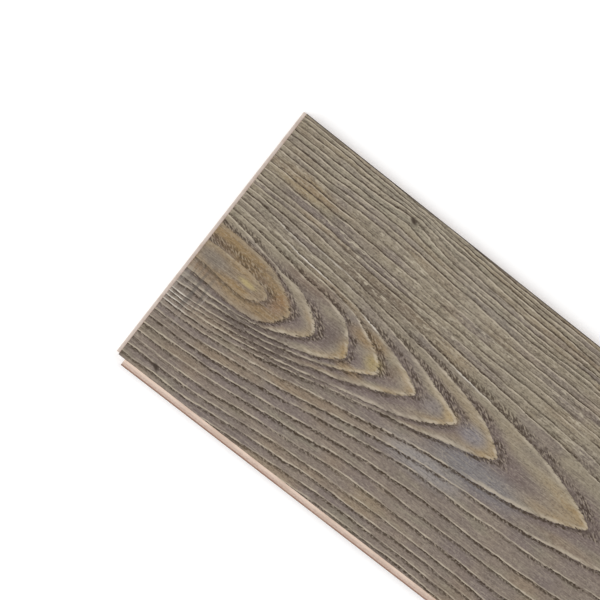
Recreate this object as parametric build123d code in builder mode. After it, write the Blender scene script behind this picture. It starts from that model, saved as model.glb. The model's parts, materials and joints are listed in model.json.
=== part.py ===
from build123d import *
import os

# Laminate floor plank: one pressed board with a joint milled along all four edges.
# Millimetres, +X along the length, +Z up through the decor face.
# The origin is on the underside, below the centre of the decor face.

# Decor face and board
face_length = 1215.0
face_width = 195.0
thickness = 8.0
bevel = 0.3  # eased rim of the decor face

# Tongue, milled on one side and on one end
tongue_reach = 4.9  # past the decor face
tongue_thickness = 2.6
tongue_height = 2.6  # from the underside to the bottom of the tongue
nose_radius = 1.2

# Locking bead under the tongue, which snaps into a recess of the lower lip
bead_radius = 1.2
bead_height = 0.4  # below the tongue
bead_setback = 2.1  # from the nose to the middle of the bead

# Groove, milled on the other side and the other end
play = 0.1  # around the tongue
nose_gap = 0.4  # between the nose and the back of the groove
side_lip_reach = 0.3  # lower lip past the decor face, along the side
end_lip_reach = 2.3  # lower lip past the decor face, across the end
lip_gap = 0.2  # between the lip's edge and the board that it slides under
lip_lead = 0.3  # chamfer that guides the tongue onto the lip

# Stock past the joints before they are milled, and the square trimmed off at a corner
mill_overrun = 10.0
trim_span = 20.0

# Places that follow from the sizes above
tongue_middle = tongue_height + tongue_thickness / 2
groove_depth = tongue_reach + nose_gap
groove_height = tongue_thickness + 2 * play
lip_thickness = tongue_height - play
bead_offset = tongue_reach - bead_setback
bead_middle = tongue_height - bead_height + bead_radius
half_stock_length = face_length / 2 + tongue_reach + end_lip_reach + mill_overrun
half_stock_width = face_width / 2 + tongue_reach + side_lip_reach + mill_overrun


def draw_joint_section(face_span, lip_reach):
    """Draw the board across one pair of edges: the tongue at the left, the groove at the right."""
    tongue_edge = -face_span / 2
    groove_edge = face_span / 2

    # Board with its eased rim
    Rectangle(face_span, thickness, align=(Align.CENTER, Align.MIN))
    chamfer(vertices().group_by(Axis.Y)[-1], bevel)

    # Tongue with a round nose, and the bead under it
    with Locations((tongue_edge, tongue_middle)):
        RectangleRounded(2 * tongue_reach, tongue_thickness, nose_radius)
    with Locations((tongue_edge - bead_offset, bead_middle)):
        Circle(bead_radius)

    # Undercut below the tongue, where the neighbour's lower lip goes
    with Locations((tongue_edge, 0)):
        Rectangle(lip_reach + lip_gap, tongue_height, align=Align.MIN, mode=Mode.SUBTRACT)

    # Lower lip, then the groove over it and the recess for the bead
    with Locations((groove_edge, 0)):
        Rectangle(lip_reach, lip_thickness, align=Align.MIN)
    with Locations((groove_edge, tongue_middle)):
        RectangleRounded(2 * groove_depth, groove_height, nose_radius, mode=Mode.SUBTRACT)
    with Locations((groove_edge - bead_offset, bead_middle)):
        Circle(bead_radius + play, mode=Mode.SUBTRACT)
    chamfer(vertices().group_by(Axis.X)[-1].sort_by(Axis.Y)[-1], lip_lead)


os.makedirs("parts", exist_ok=True)

with BuildPart() as plank:
    # Side joints along the length
    with BuildSketch(Plane.right):
        draw_joint_section(face_width, side_lip_reach)
    extrude(amount=half_stock_length, both=True)

    # End joints across the width
    with BuildSketch(Plane.back):
        draw_joint_section(face_length, end_lip_reach)
    extrude(amount=half_stock_width, both=True, mode=Mode.INTERSECT)

    # Tongues trimmed back at the two corners where each runs out into a groove
    with Locations((groove_depth - face_length / 2, -face_width / 2, 0)):
        Box(trim_span, trim_span, thickness, align=(Align.MAX, Align.MAX, Align.MIN), mode=Mode.SUBTRACT)
    with Locations((face_length / 2, face_width / 2 - groove_depth, 0)):
        Box(trim_span, trim_span, thickness, align=Align.MIN, mode=Mode.SUBTRACT)

plank.part.label = "plank"
export_step(plank.part, "parts/plank.step")
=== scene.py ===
import json
import math

import bpy
import numpy as np
from mathutils import Matrix, Vector, noise

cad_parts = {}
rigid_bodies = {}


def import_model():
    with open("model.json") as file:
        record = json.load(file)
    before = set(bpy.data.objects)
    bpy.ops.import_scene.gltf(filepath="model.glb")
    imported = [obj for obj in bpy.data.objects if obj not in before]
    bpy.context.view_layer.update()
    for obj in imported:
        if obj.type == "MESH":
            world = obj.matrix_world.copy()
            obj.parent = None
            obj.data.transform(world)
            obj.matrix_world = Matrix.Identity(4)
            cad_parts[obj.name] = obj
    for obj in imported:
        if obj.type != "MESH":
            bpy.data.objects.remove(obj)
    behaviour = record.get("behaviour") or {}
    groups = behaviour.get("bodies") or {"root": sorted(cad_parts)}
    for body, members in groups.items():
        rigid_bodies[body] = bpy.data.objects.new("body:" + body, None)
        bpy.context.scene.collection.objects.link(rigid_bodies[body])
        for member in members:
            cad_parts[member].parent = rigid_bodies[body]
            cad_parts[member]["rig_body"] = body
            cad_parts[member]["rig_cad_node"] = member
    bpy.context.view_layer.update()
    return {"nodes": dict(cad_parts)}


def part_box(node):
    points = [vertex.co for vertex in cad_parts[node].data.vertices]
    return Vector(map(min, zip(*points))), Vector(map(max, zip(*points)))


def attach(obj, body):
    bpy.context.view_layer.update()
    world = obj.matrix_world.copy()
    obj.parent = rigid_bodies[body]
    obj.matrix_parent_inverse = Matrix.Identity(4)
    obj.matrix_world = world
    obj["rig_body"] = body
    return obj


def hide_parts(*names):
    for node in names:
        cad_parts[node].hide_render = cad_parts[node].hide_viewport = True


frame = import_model()

mm = 0.001
boardLow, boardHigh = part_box("plank")
bpy.ops.object.select_all(action="DESELECT")
print("frame loaded", [round(v / mm, 1) for v in boardHigh - boardLow], "mm")

# layers of the pressed board, heights above the underside in metres
layers = {
    "backingTop": 0.25 * mm,
    "coreTop": 7.55 * mm,
    "faceTop": 8.0 * mm,
}


def tint(red, green, blue):
    # screen colour 0 to 255, as linear RGBA
    linear = []
    for value in (red, green, blue):
        c = value / 255
        linear.append(c / 12.92 if c <= 0.04045 else ((c + 0.055) / 1.055) ** 2.4)
    return (*linear, 1.0)


def newMaterial(name):
    material = bpy.data.materials.new(name)
    material.use_nodes = True
    tree = material.node_tree
    return material, tree, tree.nodes["Principled BSDF"]


def plug(tree, socket, value):
    # a node output is linked, anything else is set
    if isinstance(value, bpy.types.NodeSocket):
        tree.links.new(value, socket)
    else:
        socket.default_value = value


def calc(tree, operation, first, second=0.0, third=0.0):
    node = tree.nodes.new("ShaderNodeMath")
    node.operation = operation
    for socket, value in zip(node.inputs, (first, second, third)):
        plug(tree, socket, value)
    return node.outputs[0]


def times(tree, first, *others):
    for other in others:
        first = calc(tree, "MULTIPLY", first, other)
    return first


def fade(tree, value, low, high, start=0.0, end=1.0):
    # smooth step from start to end while value goes from low to high
    node = tree.nodes.new("ShaderNodeMapRange")
    node.interpolation_type = "SMOOTHSTEP"
    for name, setting in (("Value", value), ("From Min", low), ("From Max", high),
                          ("To Min", start), ("To Max", end)):
        plug(tree, node.inputs[name], setting)
    return node.outputs["Result"]


def blendColour(tree, amount, under, over):
    node = tree.nodes.new("ShaderNodeMix")
    node.data_type = "RGBA"
    plug(tree, node.inputs["Factor"], amount)
    plug(tree, node.inputs[6], under)
    plug(tree, node.inputs[7], over)
    return node.outputs[2]


def ramp(tree, value, stops):
    # stops are a place and a screen colour each
    node = tree.nodes.new("ShaderNodeValToRGB")
    plug(tree, node.inputs["Fac"], value)
    elements = node.color_ramp.elements
    while len(elements) < len(stops):
        elements.new(0.5)
    for element, (place, colour) in zip(elements, stops):
        element.position = place
        element.color = tint(*colour)
    return node.outputs["Color"]


def grainNoise(tree, coords, along, across, detail=2.0, roughness=0.5, shift=0.0, slant=0):
    # noise with a feature size in millimetres along and across the board, turned by slant
    mapping = tree.nodes.new("ShaderNodeMapping")
    tree.links.new(coords, mapping.inputs["Vector"])
    mapping.inputs["Location"].default_value = (shift, shift, shift)
    mapping.inputs["Scale"].default_value = (1000 / along, 1000 / across, 1000 / across)
    if slant:
        mapping.vector_type = "TEXTURE"
        mapping.inputs["Rotation"].default_value = (0, 0, math.radians(slant))
        mapping.inputs["Scale"].default_value = (along * mm, across * mm, across * mm)
    texture = tree.nodes.new("ShaderNodeTexNoise")
    texture.inputs["Scale"].default_value = 1.0
    texture.inputs["Detail"].default_value = detail
    texture.inputs["Roughness"].default_value = roughness
    tree.links.new(mapping.outputs["Vector"], texture.inputs["Vector"])
    return texture.outputs["Fac"]


def spot(tree, coords, place, size, slant=0):
    # 1 at a place on the print, 0 outside an ellipse of that size
    fromMiddle = place[0] - decor["halfLength"]
    mapping = tree.nodes.new("ShaderNodeMapping")
    mapping.vector_type = "TEXTURE"
    mapping.inputs["Location"].default_value = (fromMiddle * mm, place[1] * mm, layers["faceTop"])
    mapping.inputs["Rotation"].default_value = (0, 0, math.radians(slant))
    mapping.inputs["Scale"].default_value = (size[0] * mm, size[1] * mm, 1.0)
    tree.links.new(coords, mapping.inputs["Vector"])
    length = tree.nodes.new("ShaderNodeVectorMath")
    length.operation = "LENGTH"
    tree.links.new(mapping.outputs["Vector"], length.inputs[0])
    return fade(tree, length.outputs["Value"], 1.0, 0.2)


def setBump(tree, shader, height, depth, strength):
    node = tree.nodes.new("ShaderNodeBump")
    node.inputs["Strength"].default_value = strength
    node.inputs["Distance"].default_value = depth
    tree.links.new(height, node.inputs["Height"])
    tree.links.new(node.outputs["Normal"], shader.inputs["Normal"])


# growth rings of the oak print, in millimetres from the grooved end and across from the middle
grain = {
    # for each arch its tip, and where its two flanks meet the grooved end
    "arches": [
        ((55, -11), -3.7, -18.5),
        ((72, -11), 9.6, -27),
        ((92, -11), 16.5, -33),
        ((118, -11), 21, -37.5),
        ((141, -4.5), 25.4, -42.3),
        ((169, 0), 29.2, -45.4),
        ((202, 1.5), 33.8, -48.2),
        ((237, -1), 37.6, -51.5),
        ((315, -2), 41.5, -55.2),
        ((394, 2), 45.3, -60.4),
    ],
    # ring number along the heart between the grooved end and the first tip
    "heartPlaces": [0, 42],
    "heartNumbers": [0.6, 0.55],
    "laterArches": 22,  # wider ones past these, nested in the same way
    "tipStep": 78,
    "tipStepGrowth": 3,
    "tipStepVaries": 20,
    "tipSway": 7,  # of the later tips, across the board
    "grooveStep": 4.6,
    "edgeStep": 3.4,  # closer lines along the groove side's edge
    "edgeFrom": 74,
    "tongueStep": 5.6,
    # how the flanks run, by the tip's distance from the end: a shift across, the distance
    # that the shift takes, and how suddenly they then bend in to the tip
    "grooveFlank": [
        (72, 0, 60, 3.6), (92, -9, 60, 7), (118, -7, 80, 10), (141, -5, 70, 5.5), (169, -4.6, 60, 3.1),
        (202, -2.5, 60, 2.7), (237, -14, 215, 8), (315, -15, 260, 6), (394, -10, 250, 6),
        (560, -7.5, 240, 5), (900, -6, 240, 4),
    ],
    "tongueFlank": [
        (55, -2, 40, 7.5), (72, -2, 60, 8), (92, 1, 60, 4.1), (118, 7, 100, 4.8), (141, 16, 140, 5.3),
        (169, 22, 170, 6), (202, 27, 200, 8.5), (237, 33, 220, 8), (315, 30, 240, 6.3), (394, 28, 240, 6),
        (472, 26, 230, 6), (553, 20.5, 215, 6), (637, 16, 205, 5.5), (820, 11, 200, 5), (1000, 10, 200, 4),
    ],
    # how the rings wander: height, length along and across, and seed
    "wander": [(1.1, 48, 11, 3.1), (0.4, 13, 5, 8.7)],
    "farWander": (6, 150, 60, 5.5),
    "farStart": 220,
    "farEase": 120,
    "grooveWander": (2.2, 210, 8, 12.3),
    "grooveStart": 30,
    "grooveEase": 15,
    # tips are rounded this far from the heart, over this many cells either way
    "tipRounding": 7,
    "tipCells": 3,
    # small knots: place, how far they push the rings outwards, and their slant in degrees
    "knots": [((96.5, 86), 0.5, -22), ((23.8, -89.4), 0.0, -36)],
    "knotReach": (16, 7),
    "knotSize": (4.8, 2.2),
    # the lines rise towards the first knot: place, reach and height of that swell
    "swell": ((93, 78), (34, 17), 2.3),
    # tinted patches: place, half sizes, screen colour and strength
    "stains": [
        ((30, 61), (34, 9), (158, 134, 92), 0.5),
        ((105, 36), (62, 10), (108, 95, 81), 0.85),
        ((72, 14), (34, 8), (112, 92, 80), 0.7),
        ((97, -3), (18, 13), (104, 91, 87), 0.9),
        ((66, -35), (66, 14), (92, 80, 75), 0.85),
        ((230, -18), (56, 16), (122, 121, 125), 0.75),
        ((180, 0), (13, 8), (138, 129, 124), 0.75),
        ((213, 1), (15, 9), (136, 131, 134), 0.8),
        ((198, -34), (50, 13), (149, 144, 142), 0.8),
        ((6, -36), (10, 18), (132, 126, 118), 0.3),
        ((122, 8), (22, 8), (148, 121, 82), 0.7),
        ((134, -2), (11, 8), (166, 148, 100), 0.7),
        ((147, 1), (8, 8), (116, 98, 82), 0.6),
        ((156, 2), (11, 6), (168, 154, 137), 0.4),
        ((122, -15), (16, 5), (156, 130, 88), 0.6),
        ((61, -9), (9, 11), (138, 106, 74), 0.65),
        ((10, -12), (22, 10), (124, 117, 110), 0.75),
        ((28, 3), (26, 9), (134, 110, 72), 0.5),
        ((37, -11.5), (10, 2.8), (178, 160, 112), 0.85),
        ((194, 2), (9, 6), (176, 155, 120), 0.8),
        ((35, -24), (28, 5), (154, 136, 110), 0.5),
        ((90, 86), (130, 17), (156, 149, 131), 0.5),
        ((168, 68), (48, 20), (154, 146, 132), 0.45),
        ((22, -72), (34, 17), (116, 103, 90), 0.4),
    ],
    # stretches where a white highlight is painted on the ridges: place and half sizes
    "ridgeHighlight": [
        ((66, 24.5), (44, 5)), ((5, -47), (18, 12)), ((118, 18), (18, 5)), ((60, 32), (50, 4)),
        ((192, 28.5), (32, 5)),
    ],
    "scuff": ((12, -38), (22, 32)),
    "flecked": ((152, 50), (74, 30)),  # lines broken up into short flecks
    # grooves pressed in along the ring edges: depth, a shift in rings, and how narrow they are
    "relief": 0.09,
    "reliefShift": 0.06,
    "reliefPower": 3,
}


def allArches():
    arches = list(grain["arches"])
    for later in range(grain["laterArches"]):
        (tipX, _), grooveEnd, tongueEnd = arches[-1]
        step = grain["tipStep"] + grain["tipStepGrowth"] * later
        step += grain["tipStepVaries"] * math.sin(2.3 * later)
        tip = (tipX + step, grain["tipSway"] * math.sin(0.8 * later - 0.6))
        grooveStep = grain["grooveStep"] if grooveEnd < grain["edgeFrom"] else grain["edgeStep"]
        arches.append((tip, grooveEnd + grooveStep, tongueEnd - grain["tongueStep"]))
    return arches


def flankSettings(side):
    tipX, *columns = zip(*grain[side])
    return [(tipX, column) for column in columns]


def ringLines(arches, fromEnd):
    # where the ring edges cross the board at this distance from the end, and their numbers
    tips, grooveEnds, tongueEnds = (np.array(column) for column in zip(*arches))
    numbers = np.arange(1, len(arches) + 1)
    middle = np.interp(fromEnd, tips[:, 0], tips[:, 1])
    heartRing = np.interp(fromEnd, [*grain["heartPlaces"], *tips[:, 0]], [*grain["heartNumbers"], *numbers])
    there = tips[:, 0] > fromEnd
    tipX, tipY = tips[there].T
    flanks = []
    for ends, bend in ((grooveEnds, "grooveFlank"), (tongueEnds, "tongueFlank")):
        shift, over, power = (np.interp(tipX, *pair) for pair in flankSettings(bend))
        settled = 0.5 - 0.5 * np.cos(math.pi * np.minimum(fromEnd / over, 1))
        flank = ends[there] + shift * settled
        flanks.append(flank + (tipY - flank) * (fromEnd / tipX) ** power)
    upper, lower = flanks
    places = np.concatenate((lower[::-1], [middle], upper))
    rings = np.concatenate((numbers[there][::-1], [heartRing], numbers[there]))
    return np.maximum.accumulate(places), rings, middle


def noiseOver(x, y, along, across, seed):
    values = [noise.noise((a / along, b / across, seed)) for a, b in zip(x.ravel(), y.ravel())]
    return np.array(values).reshape(x.shape)


def smoothAcross(values, reach):
    # mean over the neighbours across the board, which rounds the arches' tips
    padded = np.pad(values, ((0, 0), (reach, reach)), mode="edge")
    width = values.shape[1]
    return sum(padded[:, start:start + width] for start in range(2 * reach + 1)) / (2 * reach + 1)


def hump(x, y, place, reach):
    return np.exp(-((x - place[0]) / reach[0]) ** 2 - ((y - place[1]) / reach[1]) ** 2)


def ringWander(x, y, fromEnd):
    def wave(height, along, across, seed):
        return height * noiseOver(x, y, along, across, seed)

    wander = sum(wave(*settings) for settings in grain["wander"])
    far = np.clip((fromEnd - grain["farStart"]) / grain["farEase"], 0, 1)
    grooveSide = np.clip((y - grain["grooveStart"]) / grain["grooveEase"], 0, 1)
    wander += far * wave(*grain["farWander"]) + grooveSide * wave(*grain["grooveWander"])
    place, reach, height = grain["swell"]
    return wander - height * hump(fromEnd, y, place, reach)


def ringField(x, y):
    # ring number at each point of a grid, and the offset from the heart of the print
    fromEnd = x + decor["halfLength"]
    shifted = y + ringWander(x, y, fromEnd)
    rings = np.empty(x.shape)
    offset = np.empty(x.shape)
    arches = allArches()
    for column in range(len(x)):
        places, numbers, middle = ringLines(arches, fromEnd[column, 0])
        rings[column] = np.interp(shifted[column], places, numbers)
        offset[column] = y[column] - middle
    nearHeart = np.exp(-(offset / grain["tipRounding"]) ** 2)
    rings += (smoothAcross(rings, grain["tipCells"]) - rings) * nearHeart
    for place, push, _ in grain["knots"]:
        rings -= push * hump(fromEnd, y, place, grain["knotReach"])
    return rings, offset


decor = {
    "halfLength": 607.5,
    "halfWidth": 97.5,
    "rim": 0.3,  # eased edge of the face
    "edgeShadeWidth": 0.9,  # painted shade strip along the groove side's edge
    "embossing": 0.3,
    "fineStretch": 360,  # millimetres from the grooved end with close cells
    "fineCell": 1.55,
    "coarseCell": 4.4,
    "cellsAcross": 210,
}


# shares of the map's width and height, and millimetres on the board
bakeLayout = {
    "margin": 0.01,
    "rowStep": 0.48,
    "rowHeight": 0.46,
    "borderX": 4,
    "borderY": 3,
    "fold": 4,  # the rim lies this much wider in the map than it is high
    "stripPlace": 0.98,
    "stripHeight": 0.005,
}


def addBakeMap(mesh):
    # the board's two halves one above the other, so that the baked print stays sharp
    half, wide = decor["halfLength"], decor["halfWidth"]
    places = np.empty(len(mesh.vertices) * 3, np.float32)
    mesh.vertices.foreach_get("co", places)
    corners = np.empty(len(mesh.loops), np.int32)
    mesh.loops.foreach_get("vertex_index", corners)
    x, y, z = places.reshape(-1, 3)[corners].T / mm
    centres = np.empty(len(mesh.polygons) * 3, np.float32)
    mesh.polygons.foreach_get("center", centres)
    counts = np.empty(len(mesh.polygons), np.int32)
    mesh.polygons.foreach_get("loop_total", counts)
    farHalf = np.repeat(centres[0::3] > 0, counts)
    underside = np.repeat(centres[2::3] < layers["coreTop"] + 1e-6, counts)

    # the rim is folded out flat, and the hidden underside gets a narrow strip
    margin, borderX, borderY = (bakeLayout[name] for name in ("margin", "borderX", "borderY"))
    drop = bakeLayout["fold"] * (layers["faceTop"] / mm - z)
    outX = x + np.where(np.abs(x) > half - 0.01, np.sign(x) * drop, 0)
    outY = y + np.where(np.abs(y) > wide - 0.01, np.sign(y) * drop, 0)
    along = (outX + np.where(farHalf, borderX, half + borderX)) / (half + 2 * borderX)
    across = outY / (2 * wide + 2 * borderY) + 0.5
    u = margin + (1 - 2 * margin) * along
    v = margin + bakeLayout["rowStep"] * farHalf + bakeLayout["rowHeight"] * across
    u = np.where(underside, 0.5 + (0.5 - margin) * x / half, u)
    v = np.where(underside, bakeLayout["stripPlace"] + bakeLayout["stripHeight"] * y / wide, v)
    bakeMap = mesh.uv_layers.new(name="OFBake")
    bakeMap.uv.foreach_set("vector", np.stack([u, v], 1).astype(np.float32).ravel())


def makeDecorSheet():
    half, wide, rim = decor["halfLength"], decor["halfWidth"], decor["rim"]
    turn = decor["fineStretch"] - half
    fine = np.arange(-half + rim, turn, decor["fineCell"])
    coarse = np.linspace(turn, half - rim, int((half - turn) / decor["coarseCell"]))
    placesX = np.concatenate(([-half], fine, coarse, [half]))
    placesY = np.concatenate(([-wide], np.linspace(-wide + rim, wide - rim, decor["cellsAcross"]), [wide]))
    cellsX, cellsY = len(placesX) - 1, len(placesY) - 1
    bpy.ops.mesh.primitive_grid_add(x_subdivisions=cellsX, y_subdivisions=cellsY, size=2)
    sheet = bpy.context.object
    sheet.name = "decorSheet"
    mesh = sheet.data

    # rings over the face, and how fast they change per millimetre
    gridX, gridY = np.meshgrid(placesX, placesY, indexing="ij")
    rings, offset = ringField(gridX, gridY)
    slopeX, slopeY = np.gradient(rings, placesX, placesY)
    grooves = 0.5 + 0.5 * np.cos(2 * math.pi * (rings - grain["reliefShift"]))
    pressed = grain["relief"] * grooves ** grain["reliefPower"]
    onRim = (np.abs(gridX) > half - 1e-6) | (np.abs(gridY) > wide - 1e-6)
    gridZ = layers["faceTop"] / mm - np.where(onRim, rim, pressed)

    # put the grid's points there
    points = np.empty(len(mesh.vertices) * 3)
    mesh.vertices.foreach_get("co", points)
    points = points.reshape(-1, 3)
    column = np.rint((points[:, 0] + 1) / 2 * cellsX).astype(int)
    row = np.rint((points[:, 1] + 1) / 2 * cellsY).astype(int)
    placed = np.stack([gridX, gridY, gridZ], 2)[column, row] * mm
    mesh.vertices.foreach_set("co", placed.ravel())
    kept = {"ringField": rings, "heartOffset": offset, "slopeX": slopeX, "slopeY": slopeY}
    for name, values in kept.items():
        layer = mesh.attributes.new(name, "FLOAT", "POINT")
        layer.data.foreach_set("value", values[column, row].astype(np.float32))
    mesh.update()

    # close the sheet: the rim goes down to the core and is filled there
    bpy.ops.object.mode_set(mode="EDIT")
    bpy.ops.mesh.select_mode(type="EDGE")
    bpy.ops.mesh.select_all(action="DESELECT")
    bpy.ops.mesh.select_non_manifold()
    bpy.ops.mesh.extrude_edges_move()
    bpy.ops.transform.resize(value=(1, 1, 0), center_override=(0, 0, layers["coreTop"]))
    bpy.ops.mesh.edge_face_add()
    bpy.ops.mesh.select_all(action="SELECT")
    bpy.ops.mesh.normals_make_consistent(inside=False)
    bpy.ops.object.mode_set(mode="OBJECT")
    bpy.ops.object.shade_smooth_by_angle(angle=math.radians(35))
    addBakeMap(mesh)
    print("decor sheet", len(placesX), "by", len(placesY), "points")
    return sheet


def makeLayer(name, low, high):
    # the part of the milled board between two heights
    layer = frame["nodes"]["plank"].copy()
    layer.data = layer.data.copy()
    layer.name = name
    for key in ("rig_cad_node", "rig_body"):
        del layer[key]
    layer.parent = None
    bpy.context.scene.collection.objects.link(layer)
    bpy.ops.object.select_all(action="DESELECT")
    layer.select_set(True)
    bpy.context.view_layer.objects.active = layer
    bpy.ops.object.mode_set(mode="EDIT")
    bpy.ops.mesh.select_all(action="SELECT")
    bpy.ops.mesh.remove_doubles(threshold=0.01 * mm)
    bpy.ops.mesh.tris_convert_to_quads()
    bpy.ops.mesh.dissolve_limited(angle_limit=math.radians(0.5))
    for height, upwards in ((low, False), (high, True)):
        if boardLow.z + 1e-6 < height < boardHigh.z - 1e-6:
            bpy.ops.mesh.select_all(action="SELECT")
            bpy.ops.mesh.bisect(plane_co=(0, 0, height), plane_no=(0, 0, 1), use_fill=True,
                                clear_outer=upwards, clear_inner=not upwards)
    bpy.ops.object.mode_set(mode="OBJECT")
    bpy.ops.object.shade_smooth_by_angle(angle=math.radians(25))
    print(name, len(layer.data.polygons), "faces")
    return layer


def separate(tree, coords):
    node = tree.nodes.new("ShaderNodeSeparateXYZ")
    tree.links.new(coords, node.inputs["Vector"])
    return node.outputs


def attribute(tree, name):
    node = tree.nodes.new("ShaderNodeAttribute")
    node.attribute_name = name
    return node.outputs["Fac"]


def ringMeasures(tree, coords):
    # where a point lies among the rings of the print, from the values kept on the mesh
    offset = attribute(tree, "heartOffset")
    slopeX = attribute(tree, "slopeX")
    slopeY = attribute(tree, "slopeY")
    sway = calc(tree, "MULTIPLY_ADD", grainNoise(tree, coords, 7, 2, 2.0, 0.5, 5.0), 1.4, -0.7)
    ring = calc(tree, "MULTIPLY_ADD", slopeY, sway, attribute(tree, "ringField"))

    # fibres cut lengthwise shift the outer side of a ring edge to and fro along the board
    cut = calc(tree, "MULTIPLY_ADD", grainNoise(tree, coords, 2.4, 0.75, 1.0, 0.5), 14.0, -7.0)
    cutRing = calc(tree, "MULTIPLY_ADD", slopeX, cut, ring)

    squares = [times(tree, slope, slope) for slope in (slopeX, slopeY)]
    steep = calc(tree, "SQRT", calc(tree, "ADD", *squares))
    spacing = calc(tree, "DIVIDE", 1.0, calc(tree, "MAXIMUM", steep, 0.02))
    phase = calc(tree, "FRACT", ring)
    return {
        "ring": ring,
        "phase": phase,  # 0 just outside a ring edge, 1 just inside the next
        "spacing": spacing,
        "outside": times(tree, calc(tree, "FRACT", cutRing), spacing),
        "inside": times(tree, calc(tree, "SUBTRACT", 1.0, phase), spacing),
        "heart": calc(tree, "ABSOLUTE", offset),
        "grooveHalf": fade(tree, offset, -6, 8),
        "straight": fade(tree, offset, 22, 42),  # even grain on the groove side
        "arched": fade(tree, calc(tree, "ABSOLUTE", offset), 30, 12),
    }


def bandNoise(tree, coords, ring, along, shift):
    # noise that jumps from ring to ring and drifts along the board
    joined = tree.nodes.new("ShaderNodeCombineXYZ")
    plug(tree, joined.inputs["X"], times(tree, separate(tree, coords)["X"], 1000 / along))
    plug(tree, joined.inputs["Y"], times(tree, calc(tree, "FLOOR", ring), 2.7))
    joined.inputs["Z"].default_value = shift
    texture = tree.nodes.new("ShaderNodeTexNoise")
    texture.inputs["Scale"].default_value = 1.0
    texture.inputs["Detail"].default_value = 1.0
    tree.links.new(joined.outputs["Vector"], texture.inputs["Vector"])
    return texture.outputs["Fac"]


# screen colours of the oak print
oakTints = {
    "tongueGround": (133, 120, 109),
    "grooveGround": (147, 136, 117),
    "greyDrift": (120, 109, 102),
    "warmDrift": (140, 121, 98),
    "olivePatch": (134, 127, 110),
    "greyBand": (119, 107, 105),
    "warmBand": (152, 130, 100),
    "archOutside": (116, 102, 98),
    "archInside": (164, 149, 124),
    "archTip": (158, 130, 84),
    "heartwood": (143, 118, 82),
    "darkFibre": (96, 85, 75),
    "paleFibre": (172, 160, 140),
    "darkGrit": (78, 68, 60),
    "paleGrit": (176, 165, 149),
    "fleck": (188, 177, 157),
    "ridge": (198, 185, 165),
    "ridgeHighlightTint": (228, 220, 208),
    "betweenPores": (174, 160, 140),
    "groove": (54, 40, 26),
    "darkStroke": (88, 83, 78),
    "paleStroke": (182, 175, 166),
    "knot": (56, 44, 35),
    "edge": (52, 43, 40),
}


def oak(name):
    return tint(*oakTints[name])


def inZone(tree, zone, outside, inside):
    # a value that changes over into a zone of the print
    return fade(tree, zone, 0.0, 1.0, outside, inside)


def groundTone(tree, coords, rings):
    # beige on the groove side, greyer on the tongue side, each drifting
    drift = grainNoise(tree, coords, 85, 15, 2.0, 0.5, 9.0)
    patches = grainNoise(tree, coords, 34, 9, 2.0, 0.5, 4.0)
    tone = blendColour(tree, rings["grooveHalf"], oak("tongueGround"), oak("grooveGround"))
    tone = blendColour(tree, fade(tree, drift, 0.47, 0.7, 0.0, 0.6), tone, oak("greyDrift"))
    tone = blendColour(tree, fade(tree, drift, 0.46, 0.3, 0.0, 0.5), tone, oak("warmDrift"))
    tone = blendColour(tree, fade(tree, patches, 0.52, 0.7, 0.0, 0.5), tone, oak("olivePatch"))

    # tints that keep to one ring
    greyBand = bandNoise(tree, coords, rings["ring"], 45, 1.5)
    warmBand = bandNoise(tree, coords, rings["ring"], 55, 8.5)
    tone = blendColour(tree, fade(tree, greyBand, 0.5, 0.68, 0.0, 0.55), tone, oak("greyBand"))
    tone = blendColour(tree, fade(tree, warmBand, 0.5, 0.7, 0.0, 0.4), tone, oak("warmBand"))

    # violet grey outside each arch, cream and ochre inside its tip
    outer = times(tree, rings["arched"], fade(tree, rings["phase"], 0.7, 0.25, 0.0, 0.95))
    inner = times(tree, fade(tree, rings["phase"], 0.45, 0.9), fade(tree, rings["heart"], 20, 5),
                  fade(tree, rings["ring"], 2.0, 3.0, 0.15, 0.6))
    ochre = times(tree, fade(tree, rings["phase"], 0.6, 0.95), fade(tree, rings["heart"], 13, 4),
                  fade(tree, patches, 0.38, 0.6, 0.3, 0.85))
    heartwood = times(tree, fade(tree, patches, 0.35, 0.62, 0.3, 0.9),
                      fade(tree, rings["ring"], 2.3, 1.75))
    tone = blendColour(tree, outer, tone, oak("archOutside"))
    tone = blendColour(tree, inner, tone, oak("archInside"))
    tone = blendColour(tree, ochre, tone, oak("archTip"))
    tone = blendColour(tree, heartwood, tone, oak("heartwood"))
    for place, size, colour, strength in grain["stains"]:
        stain = times(tree, spot(tree, coords, place, size), strength)
        tone = blendColour(tree, stain, tone, tint(*colour))
    return tone


def fibreTone(tree, rings, fibre, grit, tone):
    # fine fibres and grit of the pressed sheet
    strands = inZone(tree, rings["straight"], 0.45, 0.8)
    darkFibre = times(tree, fade(tree, fibre, 0.5, 0.3), strands)
    paleFibre = times(tree, fade(tree, fibre, 0.52, 0.72), strands)
    darkGrit = fade(tree, grit, 0.5, 0.3, 0.0, inZone(tree, rings["straight"], 0.52, 0.7))
    paleGrit = fade(tree, grit, 0.52, 0.7, 0.0, inZone(tree, rings["straight"], 0.42, 0.6))
    tone = blendColour(tree, darkFibre, tone, oak("darkFibre"))
    tone = blendColour(tree, paleFibre, tone, oak("paleFibre"))
    tone = blendColour(tree, darkGrit, tone, oak("darkGrit"))
    return blendColour(tree, paleGrit, tone, oak("paleGrit"))


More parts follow.
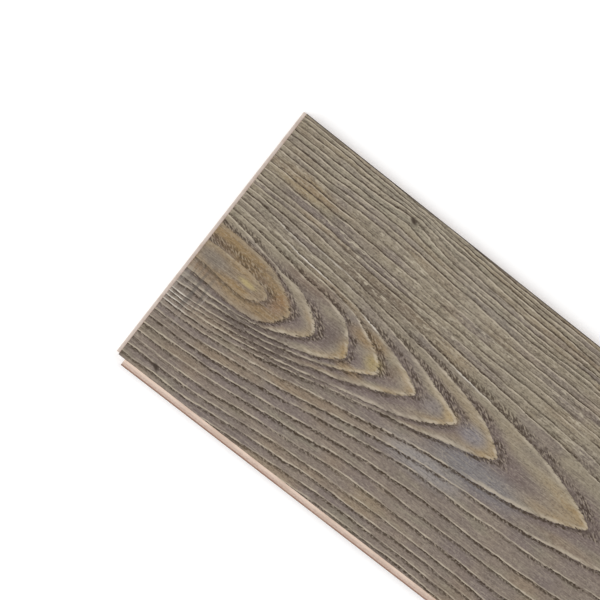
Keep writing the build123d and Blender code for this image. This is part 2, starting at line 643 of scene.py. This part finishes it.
def fleckMarks(tree, coords, rings):
    # clusters of short raised flecks in the straight grain, with painted shadow marks beside them, also
    # pressed in by the bump
    dashes = grainNoise(tree, coords, 4.4, 1.4, 1.0, 0.5, 19.0)
    clusters = fade(tree, grainNoise(tree, coords, 45, 9, 1.0, 0.5, 23.0), 0.48, 0.62)
    flecked = times(tree, spot(tree, coords, *grain["flecked"]), 0.8)
    clusters = times(tree, calc(tree, "MAXIMUM", clusters, flecked), rings["straight"],
                     fade(tree, rings["heart"], 86, 74))
    fleck = times(tree, clusters, fade(tree, dashes, 0.55, 0.65),
                  fade(tree, rings["phase"], 0.3, 0.65, 0.25, 1.0))
    fleckShadow = times(tree, clusters, fade(tree, dashes, 0.42, 0.34, 0.0, 0.6),
                 fade(tree, rings["phase"], 0.65, 0.35, 0.3, 1.0))
    return clusters, fleck, fleckShadow


def ridgeMarks(tree, coords, rings, clusters):
    # pale ridge inside each ring edge, broad and soft on the arches: partly the print's pale line, partly
    # painted highlight on the embossed ridge
    widest = times(tree, rings["spacing"], 0.36)
    width = calc(tree, "MINIMUM", inZone(tree, rings["arched"], 1.2, 3.6), widest)
    ridge = fade(tree, calc(tree, "DIVIDE", rings["inside"], width), 1.0, 0.3)
    # painted highlight: stretches where the ridges are painted near white
    ridgeHighlight = 0.0
    for place, size in grain["ridgeHighlight"]:
        ridgeHighlight = calc(tree, "MAXIMUM", ridgeHighlight, spot(tree, coords, place, size))
    breaks = grainNoise(tree, coords, 22, 4, 2.0, 0.6, 14.0)
    unbroken = calc(tree, "MAXIMUM", ridgeHighlight, fade(tree, breaks, 0.36, 0.6, 0.15, 1.0))
    ridge = times(tree, ridge, unbroken, inZone(tree, clusters, 1.0, 0.7),
                  fade(tree, rings["ring"], 2.0, 2.5, 0.35, 1.0))
    return ridge, ridgeHighlight


def lineMarks(tree, coords, rings, clusters):
    # dark groove outside each ring edge: dotted with cut pores, smoother in the straight grain
    widest = times(tree, rings["spacing"], 0.46)
    width = calc(tree, "MINIMUM", inZone(tree, rings["straight"], 3.1, 1.5), widest)
    line = fade(tree, calc(tree, "DIVIDE", rings["outside"], width), 1.0, 0.3)
    dots = grainNoise(tree, coords, 2.1, 1.3, 1.0, 0.5, 1.0)
    evenness = calc(tree, "MAXIMUM", rings["straight"], times(tree, rings["arched"], 0.7))
    dotted = fade(tree, dots, 0.4, 0.56, inZone(tree, evenness, 0.28, 0.75), 1.0)

    # lines break off here and there, less so at the groove side's edge
    breaks = grainNoise(tree, coords, 34, 3.2, 2.0, 0.6, 3.0)
    least = fade(tree, rings["heart"], 70, 86, 0.2, 0.65)
    weight = bandNoise(tree, coords, rings["ring"], 140, 3.3)
    crown = times(tree, rings["arched"], rings["grooveHalf"])
    return times(tree, line, dotted, fade(tree, breaks, 0.32, 0.52, least, 1.0),
                 fade(tree, weight, 0.36, 0.56, 0.75, 1.0), inZone(tree, clusters, 1.0, 0.75),
                 inZone(tree, crown, 1.0, 0.4))


def poreMarks(tree, coords, rings):
    # patches of short open pores along the groove side of the arches, pale between them
    share = calc(tree, "MULTIPLY_ADD", rings["grooveHalf"], 0.4, 0.2)
    reach = calc(tree, "MINIMUM", times(tree, rings["spacing"], share), 8.0)
    patches = grainNoise(tree, coords, 26, 8, 1.0, 0.5, 29.0)
    band = times(tree, fade(tree, calc(tree, "DIVIDE", rings["outside"], reach), 1.0, 0.6),
                 fade(tree, patches, 0.36, 0.54, 0.3, 1.0), inZone(tree, rings["straight"], 1.0, 0.2))
    dashes = grainNoise(tree, coords, 3.2, 1.0, 1.0, 0.5, 7.0, -30)
    pores = times(tree, band, fade(tree, dashes, 0.46, 0.56, 0.14, 0.84))
    between = times(tree, band, fade(tree, dashes, 0.46, 0.38, 0.0, 0.55))
    return pores, between


def wearKnotsAndEdgeShade(tree, coords, tone):
    # faint marks across the grain near the grooved end
    scuff = spot(tree, coords, *grain["scuff"])
    strokes = grainNoise(tree, coords, 4.5, 55, 2.0, 0.6, 31.0)
    darkStroke = times(tree, scuff, fade(tree, strokes, 0.52, 0.64, 0.0, 0.5))
    paleStroke = times(tree, scuff, fade(tree, strokes, 0.46, 0.34, 0.0, 0.4))
    tone = blendColour(tree, darkStroke, tone, oak("darkStroke"))
    tone = blendColour(tree, paleStroke, tone, oak("paleStroke"))

    # small knots, and painted shade along the groove side, where the eased edge faces away from the light
    for place, _, slant in grain["knots"]:
        knot = times(tree, spot(tree, coords, place, grain["knotSize"], slant), 0.95)
        tone = blendColour(tree, knot, tone, oak("knot"))
    edgeShadeStart = (decor["halfWidth"] - decor["edgeShadeWidth"]) * mm
    place = separate(tree, coords)
    edge = fade(tree, place["Y"], edgeShadeStart, edgeShadeStart + 0.4 * mm, 0.0, 0.8)
    return blendColour(tree, edge, tone, oak("edge"))


def decorMaterial():
    material, tree, shader = newMaterial("embossedOak")
    coords = tree.nodes.new("ShaderNodeTexCoord").outputs["Object"]
    rings = ringMeasures(tree, coords)
    fibre = grainNoise(tree, coords, 24, 0.9, 3.0, 0.6, 6.0)
    grit = grainNoise(tree, coords, 1.9, 0.95, 3.0, 0.7, 11.0)
    clusters, fleck, fleckShadow = fleckMarks(tree, coords, rings)
    ridge, ridgeHighlight = ridgeMarks(tree, coords, rings, clusters)
    line = lineMarks(tree, coords, rings, clusters)
    pores, between = poreMarks(tree, coords, rings)
    # dark marks: the print's grain lines and pores, and the flecks' painted shadow
    dark = calc(tree, "MAXIMUM", calc(tree, "MAXIMUM", line, pores), fleckShadow)
    dark = times(tree, dark, fade(tree, rings["ring"], 1.5, 2.0, 0.8, 1.0))

    # the print, from the ground up
    tone = fibreTone(tree, rings, fibre, grit, groundTone(tree, coords, rings))
    # ridge tone, near white where the highlight is painted
    ridgeTone = blendColour(tree, ridgeHighlight, oak("ridge"), oak("ridgeHighlightTint"))
    ridgeTint = inZone(tree, rings["arched"], inZone(tree, rings["straight"], 0.78, 0.74), 0.62)
    tone = blendColour(tree, times(tree, ridge, ridgeTint), tone, ridgeTone)
    tone = blendColour(tree, between, tone, oak("betweenPores"))
    tone = blendColour(tree, times(tree, fleck, 0.8), tone, oak("fleck"))
    tone = blendColour(tree, times(tree, dark, 0.95), tone, oak("groove"))
    tree.links.new(wearKnotsAndEdgeShade(tree, coords, tone), shader.inputs["Base Color"])

    # embossing in register with the print
    height = times(tree, dark, -0.8)
    for mark, rise in ((ridge, 0.5), (fleck, 0.5), (fibre, 0.3), (grit, 0.6)):
        height = calc(tree, "MULTIPLY_ADD", mark, rise, height)
    setBump(tree, shader, height, decor["embossing"] * mm, 1.0)
    tree.links.new(fade(tree, grit, 0.3, 0.7, 0.6, 0.46), shader.inputs["Roughness"])
    shader.inputs["Specular IOR Level"].default_value = 0.2
    return material


# places in millimetres outwards from the decor's edge
core = {
    "lipFrom": 0.0,
    "lipTo": 0.5,
    "shoulderFrom": 1.0,
    "shoulderTo": 3.0,
    "noseFrom": 3.5,
    "noseTo": 4.1,
    "fibreTints": [(0.3, (180, 154, 140)), (0.5, (201, 178, 164)), (0.72, (216, 197, 183))],
    "lipTint": (226, 215, 206),
    "shoulderLightTint": (241, 223, 208),
    "noseShadeTint": (142, 105, 88),
    "cloudTint": (190, 166, 148),
}


def coreMaterial():
    material, tree, shader = newMaterial("fibreboard")
    coords = tree.nodes.new("ShaderNodeTexCoord").outputs["Object"]
    fibres = grainNoise(tree, coords, 1.6, 0.5, 4.0, 0.65)
    clouds = grainNoise(tree, coords, 14, 6, 2.0, 0.5, 3.0)
    tone = ramp(tree, fibres, core["fibreTints"])

    # distances past the decor at the grooved end and on the tongue side
    place = separate(tree, coords)
    pastEnd = calc(tree, "MULTIPLY_ADD", place["X"], -1 / mm, -decor["halfLength"])
    pastSide = calc(tree, "MULTIPLY_ADD", place["Y"], -1 / mm, -decor["halfWidth"])
    # the end lip: its pale fibreboard tone, made paler still as painted light against the shade under the
    # decor's edge
    lip = fade(tree, pastEnd, core["lipFrom"], core["lipTo"], 0.0, 0.9)
    atTongue = fade(tree, pastSide, -0.2, 0.0, 0.0, 0.8)
    # paler band on the tongue next to the decor: painted light that offsets the shade under the decor's
    # edge
    shoulderLight = fade(tree, pastSide, core["shoulderTo"], core["shoulderFrom"], 0.0, atTongue)
    # painted shade on the tongue's rounded nose, where it turns down with shadow under it
    noseShade = fade(tree, pastSide, core["noseFrom"], core["noseTo"], 0.0, 0.85)
    tone = blendColour(tree, lip, tone, tint(*core["lipTint"]))
    tone = blendColour(tree, shoulderLight, tone, tint(*core["shoulderLightTint"]))
    tone = blendColour(tree, noseShade, tone, tint(*core["noseShadeTint"]))
    cloudy = fade(tree, clouds, 0.4, 0.75, 0.0, 0.4)
    tone = blendColour(tree, cloudy, tone, tint(*core["cloudTint"]))
    tree.links.new(tone, shader.inputs["Base Color"])
    setBump(tree, shader, fibres, 0.1 * mm, 0.5)
    shader.inputs["Roughness"].default_value = 0.82
    shader.inputs["Specular IOR Level"].default_value = 0.25
    return material


backing = {
    "tints": [(0.3, (164, 148, 128)), (0.7, (178, 163, 143))],
}


def backingMaterial():
    material, tree, shader = newMaterial("backingPaper")
    coords = tree.nodes.new("ShaderNodeTexCoord").outputs["Object"]
    mottle = grainNoise(tree, coords, 9, 6, 3.0, 0.6)
    tone = ramp(tree, mottle, backing["tints"])
    tree.links.new(tone, shader.inputs["Base Color"])
    tree.links.new(fade(tree, mottle, 0.3, 0.7, 0.55, 0.65), shader.inputs["Roughness"])
    setBump(tree, shader, mottle, 0.05 * mm, 0.3)
    return material


def dress(piece, material):
    piece.data.materials.clear()
    piece.data.materials.append(material)
    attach(piece, "root")
    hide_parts("plank")


decorSheet = makeDecorSheet()
fibreCore = makeLayer("fibreCore", layers["backingTop"], layers["coreTop"])
backingSheet = makeLayer("backingSheet", 0.0, layers["backingTop"])
dress(decorSheet, decorMaterial())
dress(fibreCore, coreMaterial())
dress(backingSheet, backingMaterial())

# floor, lights and camera
stage = {
    "floorSize": 80.0,
    "floorLift": 0.2,  # brings the floor up to white in the picture
    "farLift": 0.65,  # the same far from the board, where the lamps don't reach
    "farFrom": 0.85,
    "farTo": 1.9,
    "worldLevel": 0.44,
    # place, aim, size and power
    "lamps": {
        "keyLight": ((-1.9, -1.0, 1.9), (-0.4, 0, 0), 2.4, 45),
        "fillLight": ((0.9, 1.6, 2.2), (0, 0, 0), 2.0, 22),
    },
}


def seenRays(tree):
    # 1 for rays that show the background itself, 0 for its light on the board
    rays = tree.nodes.new("ShaderNodeLightPath").outputs
    seen = calc(tree, "MAXIMUM", rays["Is Camera Ray"], rays["Is Glossy Ray"])
    return calc(tree, "MAXIMUM", seen, rays["Is Transmission Ray"])


def makeFloor():
    bpy.ops.object.select_all(action="DESELECT")
    bpy.ops.mesh.primitive_plane_add(size=stage["floorSize"], location=(0, 0, 0))
    floor = bpy.context.object
    floor.name = "floor"
    material, tree, shader = newMaterial("paleFloor")
    shader.inputs["Base Color"].default_value = (0.9, 0.9, 0.9, 1)
    shader.inputs["Roughness"].default_value = 0.9
    shader.inputs["Specular IOR Level"].default_value = 0.1
    shader.inputs["Emission Color"].default_value = (1, 1, 1, 1)
    away = tree.nodes.new("ShaderNodeVectorMath")
    away.operation = "LENGTH"
    tree.links.new(tree.nodes.new("ShaderNodeTexCoord").outputs["Object"], away.inputs[0])
    lift = fade(tree, away.outputs["Value"], stage["farFrom"], stage["farTo"],
                stage["floorLift"], stage["farLift"])
    tree.links.new(times(tree, seenRays(tree), lift), shader.inputs["Emission Strength"])
    floor.data.materials.append(material)


def makeLight(name, place, aim, size, power):
    bpy.ops.object.light_add(type="AREA", location=place)
    lamp = bpy.context.object
    lamp.name = name
    lamp.data.size = size
    lamp.data.energy = power
    direction = Vector(aim) - Vector(place)
    lamp.rotation_euler = direction.to_track_quat("-Z", "Y").to_euler()


def makeCamera():
    settings = {
        "place": (-0.6052, 0.0013, 0.9672),
        "aim": (-0.5375, 0.0012, 0.008),
        "turn": 38.17,  # how far the board is turned in the picture
        "lens": 90.0,
    }
    bpy.ops.object.camera_add(location=settings["place"])
    camera = bpy.context.object
    camera.data.lens = settings["lens"]
    camera.data.sensor_width = 36.0
    back = (Vector(settings["place"]) - Vector(settings["aim"])).normalized()
    angle = math.radians(settings["turn"])
    up = Vector((-math.sin(angle), math.cos(angle), 0))
    right = up.cross(back).normalized()
    up = back.cross(right)
    camera.rotation_euler = Matrix((right, up, back)).transposed().to_euler()
    camera.data.clip_start = 0.01
    bpy.context.scene.camera = camera


makeFloor()
for name, settings in stage["lamps"].items():
    makeLight(name, *settings)
makeCamera()

world = bpy.context.scene.world or bpy.data.worlds.new("studio")
bpy.context.scene.world = world
world.use_nodes = True
worldShader = world.node_tree.nodes["Background"]
worldShader.inputs["Color"].default_value = (1, 1, 1, 1)
level = calc(world.node_tree, "MAXIMUM", seenRays(world.node_tree), stage["worldLevel"])
world.node_tree.links.new(level, worldShader.inputs["Strength"])
bpy.context.scene.view_settings.view_transform = "Standard"
print("stage ready")
